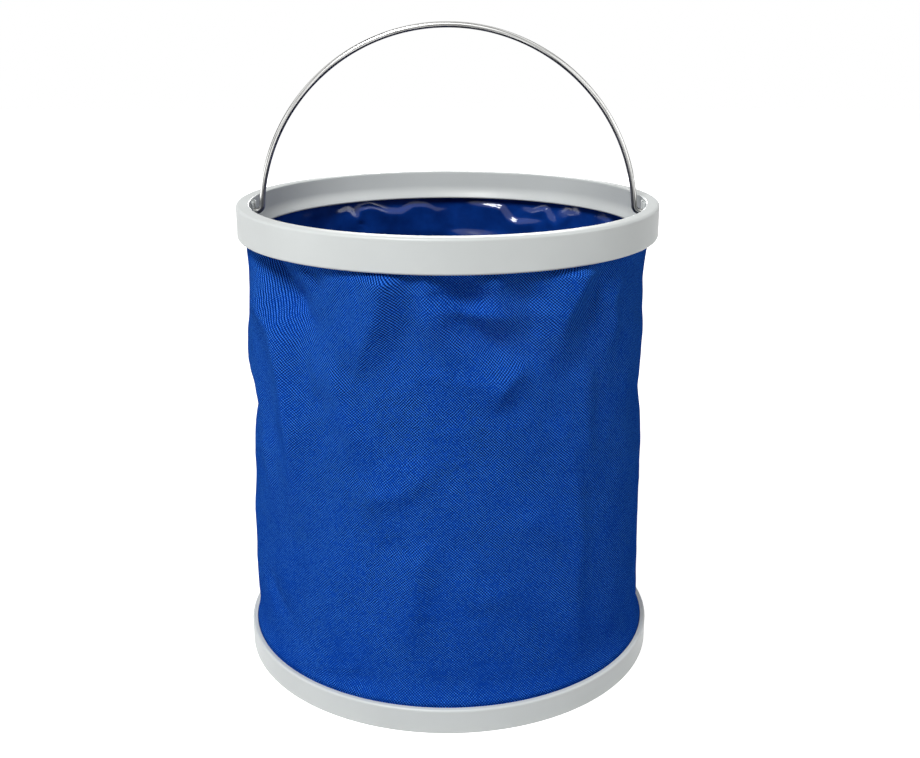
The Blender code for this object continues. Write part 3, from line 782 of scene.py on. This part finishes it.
def woven_oxford():
    material, tree, shader = new_material(
        "polyester_oxford_royal_blue", Roughness=0.8, IOR=1.5, Specular_IOR_Level=0.0,
    )
    runs = add_node(tree, "ShaderNodeUVMap", {}, uv_map="cloth_runs").outputs["UV"]
    place = add_node(tree, "ShaderNodeTexCoord", {}).outputs["Object"]

    # Two sets of slanting lines that cross in dots, of which now one, now the other comes out more
    waver = noise_of(tree, place, 6 * MM, 1.0)
    wavered = add_node(
        tree, "ShaderNodeVectorMath", {0: waver.outputs["Color"], 1: (THREAD_WAVER,) * 3, 2: runs},
        operation="MULTIPLY_ADD",
    )
    split = add_node(tree, "ShaderNodeSeparateXYZ", {"Vector": wavered.outputs[0]})
    lines = []
    for operation in ("ADD", "SUBTRACT"):
        slant = worked_out(tree, operation, split.outputs["X"], split.outputs["Y"])
        phase = worked_out(tree, "MULTIPLY", slant, math.pi / THREAD_PITCH)
        lines.append(worked_out(tree, "COSINE", phase))
    lean = noise_of(tree, place, 5 * MM, 1.0).outputs["Fac"]
    rising = worked_out(tree, "MULTIPLY", lines[1], spread(tree, lean, 0.55, 1.0, 0.46, 0.72))
    falling = worked_out(tree, "MULTIPLY", lines[0], spread(tree, lean, 1.0, 0.55, 0.46, 0.72))
    weave = worked_out(tree, "SUBTRACT", rising, falling)

    # The threads stand out unevenly, in worn patches less, and towards the rim more
    worn = noise_of(tree, place, 28 * MM, 3.0).outputs["Fac"]
    slub = noise_of(tree, place, SLUB_LENGTH, 1.0).outputs["Fac"]
    height = add_node(tree, "ShaderNodeSeparateXYZ", {"Vector": runs}).outputs["Y"]
    rimward = spread(tree, height, 0.55, 1.3, 0.0, 200 * MM)
    depth = worked_out(tree, "MULTIPLY", spread(tree, worn, 0.32, 0.6, 0.36, 0.6), rimward)
    depth = worked_out(tree, "MULTIPLY", depth, spread(tree, slub, 0.35, 1.65, 0.35, 0.65))
    threads_and_painted_glints = worked_out(tree, "MULTIPLY_ADD", weave, depth, 0.5)
    # Painted highlight: the pale top of this ramp is the glint of the raised threads, put into the colour
    # instead of coming from the lamps
    tone = colour_ramp(tree, threads_and_painted_glints, (0.0, "#001450"), (0.5, "#073A9C"), (1.0, "#367CE6"))

    fade = noise_of(tree, place, 25 * MM, 4.0).outputs["Fac"]
    faded = add_node(
        tree, "ShaderNodeVectorMath", {0: tone, "Scale": spread(tree, fade, 0.88, 1.12)}, operation="SCALE",
    )
    tree.links.new(faded.outputs["Vector"], shader.inputs["Base Color"])
    rumple = noise_of(tree, place, 9 * MM, 3.0)
    dents = bumped(tree, rumple.outputs["Fac"], 0.35, 2.2 * MM)
    tree.links.new(bumped(tree, threads_and_painted_glints, 0.8, 0.3 * MM, Normal=dents), shader.inputs["Normal"])
    return material


# Vinyl coating inside: a smooth navy skin with a wet gloss, that shows each crease as a bright line
def coated_liner():
    material, tree, shader = new_material(
        "vinyl_coating_navy", Roughness=0.14, IOR=1.53, Specular_IOR_Level=0.45,
    )
    place = add_node(tree, "ShaderNodeTexCoord", {}).outputs["Object"]
    cloud = noise_of(tree, place, 18 * MM, 3.0).outputs["Fac"]
    tone = colour_ramp(tree, cloud, (0.3, "#06286E"), (0.7, "#0E3C92"))
    tree.links.new(tone, shader.inputs["Base Color"])
    tree.links.new(bumped(tree, cloud, 0.3, 0.6 * MM), shader.inputs["Normal"])
    return material


# Zinc-plated wire: bright drawn steel with streaks along its length, partly die lines and partly painted
# dark reflection, and a near-black edge tint that paints its edges dark
STREAK_LENGTH = 40 * MM
STREAK_WIDTH = 0.7 * MM


def plated_wire():
    material, tree, shader = new_material("zinc_plated_wire", Metallic=1.0)
    # Painted shade: the near-black edge tint darkens the wire towards its edges, standing in for a dark
    # reflection
    shader.inputs["Specular Tint"].default_value = linear("#101010")
    runs = add_node(tree, "ShaderNodeUVMap", {}, uv_map="wire_runs").outputs["UV"]
    streaks_and_painted_reflections = add_node(
        tree, "ShaderNodeMapping", {"Vector": runs, "Scale": (1 / STREAK_LENGTH, 1 / STREAK_WIDTH, 1)},
    )
    lines = noise_of(tree, streaks_and_painted_reflections.outputs["Vector"], 1, 2.0).outputs["Fac"]
    # Partly painted reflection: the dark streaks in this ramp stand for dark surroundings mirrored along the
    # wire, beside real die lines
    tone = colour_ramp(tree, lines, (0.35, "#5C5C5A"), (0.5, "#B8B8B6"), (0.62, "#E4E4E2"))
    tree.links.new(tone, shader.inputs["Base Color"])
    tree.links.new(spread(tree, lines, 0.26, 0.36), shader.inputs["Roughness"])
    return material


def seen_rays(tree):
    """One for rays from the camera, a reflection or a transmission, that should meet a white surround."""
    rays = add_node(tree, "ShaderNodeLightPath", {})
    seen = rays.outputs["Is Camera Ray"]
    for other in ("Is Glossy Ray", "Is Transmission Ray"):
        seen = worked_out(tree, "MAXIMUM", seen, rays.outputs[other])
    return seen


def white_floor():
    """A white studio floor that shows white but keeps the bucket's shadow."""
    mesh = bpy.data.meshes.new("studio_floor")
    shape = bmesh.new()
    bmesh.ops.create_grid(shape, x_segments=1, y_segments=1, size=STUDIO_FLOOR_REACH)
    shape.to_mesh(mesh)
    shape.free()
    material = bpy.data.materials.new("white_floor")
    material.use_nodes = True
    tree = material.node_tree
    tree.nodes.clear()
    diffuse = add_node(tree, "ShaderNodeBsdfDiffuse", {"Color": linear(STUDIO_FLOOR_TONE)})
    lift = worked_out(tree, "MULTIPLY", seen_rays(tree), STUDIO_FLOOR_GLOW)
    glow = add_node(tree, "ShaderNodeEmission", {"Color": WHITE, "Strength": lift})
    both = add_node(tree, "ShaderNodeAddShader", {0: diffuse.outputs[0], 1: glow.outputs[0]})
    add_node(tree, "ShaderNodeOutputMaterial", {"Surface": both.outputs[0]})
    floor = add_piece("studio_floor", mesh, material)
    floor.location.z = base_low.z


def white_world():
    """A surround that shows white but lights the bucket only softly."""
    world = bpy.data.worlds.new("studio")
    bpy.context.scene.world = world
    world.use_nodes = True
    tree = world.node_tree
    tree.nodes.clear()
    soft = add_node(tree, "ShaderNodeBackground", {"Color": WHITE, "Strength": WORLD_LEVEL})
    white = add_node(tree, "ShaderNodeBackground", {"Color": WHITE, "Strength": 1.0})
    shown = add_node(
        tree, "ShaderNodeMixShader", {0: seen_rays(tree), 1: soft.outputs[0], 2: white.outputs[0]},
    )
    add_node(tree, "ShaderNodeOutputWorld", {"Surface": shown.outputs[0]})


def softbox(name, turn, height_angle, distance, size, level):
    """A square lamp aimed at the bucket's middle, that lights a white face towards it to the given level."""
    lamp = bpy.data.lights.new(name, "AREA")
    lamp.size = size
    lamp.energy = level * math.pi**2 * distance**2
    holder = bpy.data.objects.new(name, lamp)
    turn, height_angle = math.radians(turn), math.radians(height_angle)
    towards = Vector((
        math.sin(turn) * math.cos(height_angle),
        -math.cos(turn) * math.cos(height_angle),
        math.sin(height_angle),
    ))
    holder.location = towards * distance + Vector((0, 0, rim_high.z / 2))
    holder.rotation_euler = (-towards).to_track_quat("-Z", "Y").to_euler()
    bpy.context.scene.collection.objects.link(holder)


def place_camera():
    camera = bpy.data.cameras.new("camera")
    camera.sensor_width = SENSOR_WIDTH
    camera.lens = FOCAL_PIXELS * SENSOR_WIDTH / PHOTO_WIDTH
    holder = bpy.data.objects.new("camera", camera)
    holder.location = CAMERA_PLACE
    holder.rotation_euler = (math.radians(90 - CAMERA_PITCH), 0, math.radians(CAMERA_TURN))
    bpy.context.scene.collection.objects.link(holder)
    bpy.context.scene.camera = holder


def stand_in(piece, node, body):
    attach(piece, body)
    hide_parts(node)


def dress_rings():
    pale = moulded_polypropylene("moulded_polypropylene_pale_grey", "#C9CDCC", "#CFD3D2")
    grey = moulded_polypropylene("moulded_polypropylene_grey", "#BFC3C2", "#C8CCCB")
    stand_in(rim_moulding(pale), "rim_ring", "rim")
    stand_in(base_moulding(pale), "base_ring", "base")
    rim_hoop = clamp_hoop(
        "rim_hoop", rim_high.x - RIM_WALL - SEAM_GAP, hem_high.x + SEAM_GAP,
        rim_hoop_low.z, rim_hoop_high.z, grey,
    )
    stand_in(rim_hoop, "rim_clamp_hoop", "rim")
    base_hoop = clamp_hoop(
        "base_hoop", base_high.x - BASE_WALL - SEAM_GAP, band_high.x + SEAM_GAP,
        base_hoop_foot, base_high.z - SEAM_GAP, pale,
    )
    stand_in(base_hoop, "base_clamp_hoop", "base")


def dress_cloth():
    oxford = woven_oxford()
    liner = coated_liner()

    hem = cloth_band("hem_fold", hem_inner, hem_high.x, hem_low.z, hem_high.z, oxford)
    stand_in(hem, "top_hem_band", "rim")
    band = cloth_band("weld_band", band_inner, band_high.x, band_low.z, band_high.z, oxford)
    stand_in(band, "bottom_weld_band", "base")

    step = 360 / WALL_COLUMNS
    wall = cloth_shell("wall_cloth", step * np.arange(WALL_COLUMNS) - 180, 0, True, oxford, liner)
    collapse_with_rim(wall)
    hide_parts("fabric_wall")

    lap_turn = math.degrees(LAP_WIDTH / 2 / head_radius)
    lap_turns = 180 + np.linspace(-lap_turn, lap_turn, LAP_COLUMNS)
    lap = cloth_shell("side_lap", lap_turns, FIT_GAP + CLOTH_THICKNESS, False, oxford)
    collapse_with_rim(lap)
    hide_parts("side_seam_lap")

    floor = floor_sheet(oxford, liner)
    stand_in(floor, "fabric_floor", "base")


def dress_bail():
    bail = bent_wire("bail_wire", bail_route(), WIRE_RADIUS, plated_wire())
    stand_in(bail, "wire_bail", "bail")


place_camera()
dress_rings()
dress_cloth()
dress_bail()
white_world()
white_floor()
for lamp_name, settings in LAMPS.items():
    softbox(lamp_name, *settings)
bpy.context.scene.view_settings.view_transform = "Standard"
